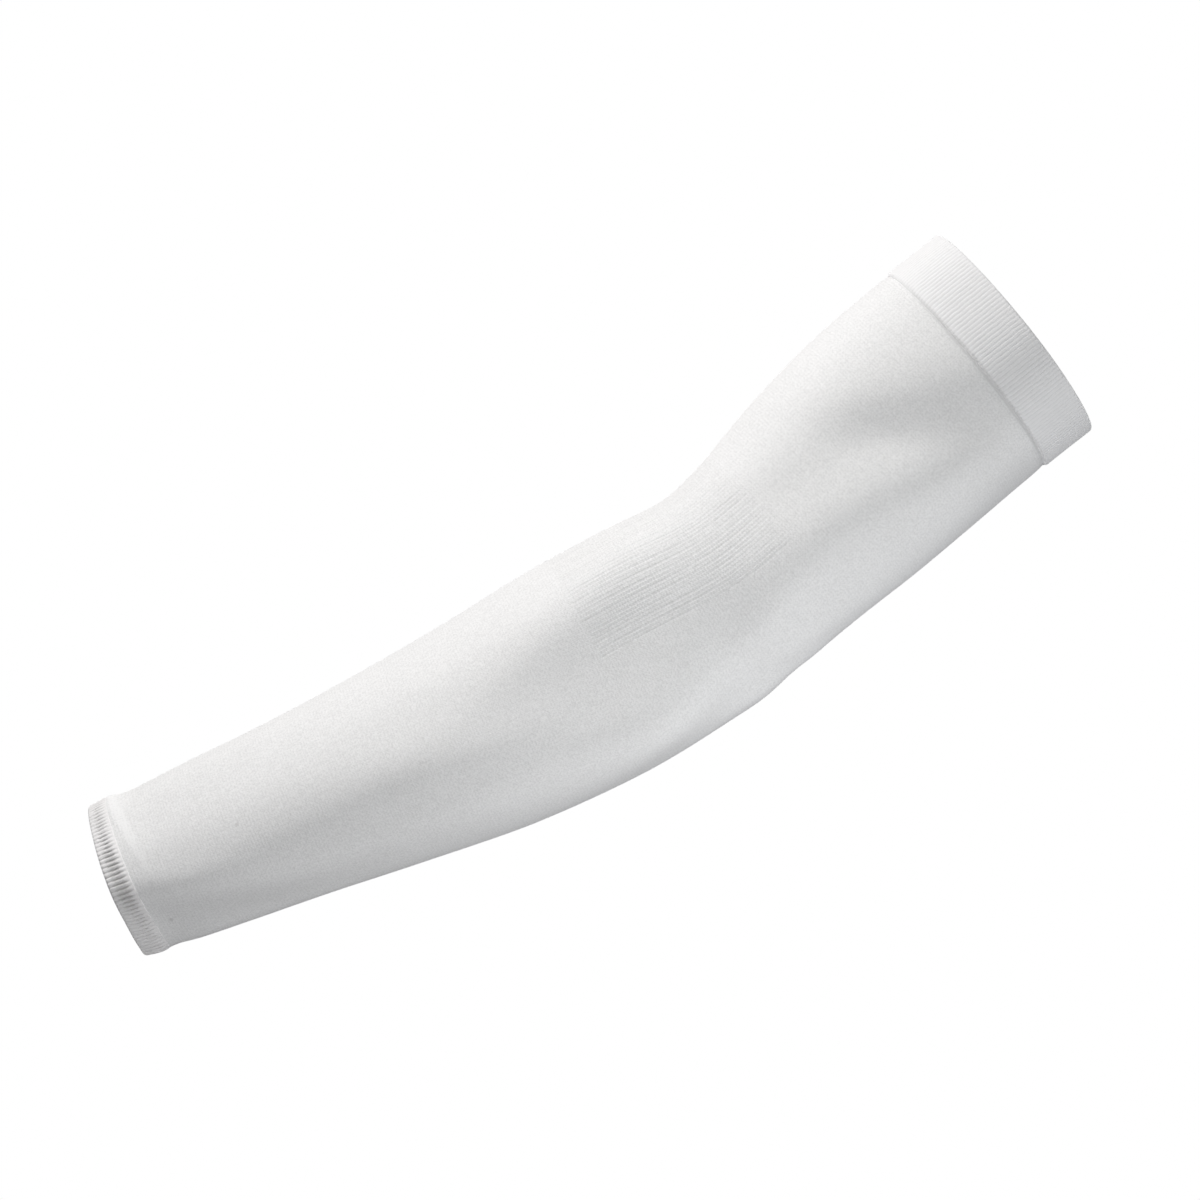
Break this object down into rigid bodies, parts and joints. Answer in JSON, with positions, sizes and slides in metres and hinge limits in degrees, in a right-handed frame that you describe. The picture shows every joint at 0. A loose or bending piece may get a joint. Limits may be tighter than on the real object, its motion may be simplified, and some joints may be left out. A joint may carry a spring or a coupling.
{
  "type": "sun protection arm sleeve",
  "caption": "Seamless white knit arm sleeve that shades the arm from wrist to upper arm, bent at the elbow, with a ribbed elbow panel, a ribbed welt band at the top and a ribbed wrist cuff",
  "frame": {"origin": "centre of the upper mouth, where the upper arm goes in", "axes": "the sleeve's chord from wrist to upper mouth along +X, the crook of the elbow towards +Z, the side seen in the picture towards -Y"},
  "size_m": [0.4283, 0.0799, 0.1234],
  "materials": {
    "body_knit": "fine plain knit, matt with a soft sheen",
    "band_knit": "narrow lengthwise ribs, matt",
    "cuff_knit": "lengthwise ribs, matt, a little greyer"
  },
  "bodies": {
    "root": {"sleeve_body": "body_knit", "upper_band": "band_knit", "wrist_cuff": "cuff_knit"}
  },
  "joints": []
}
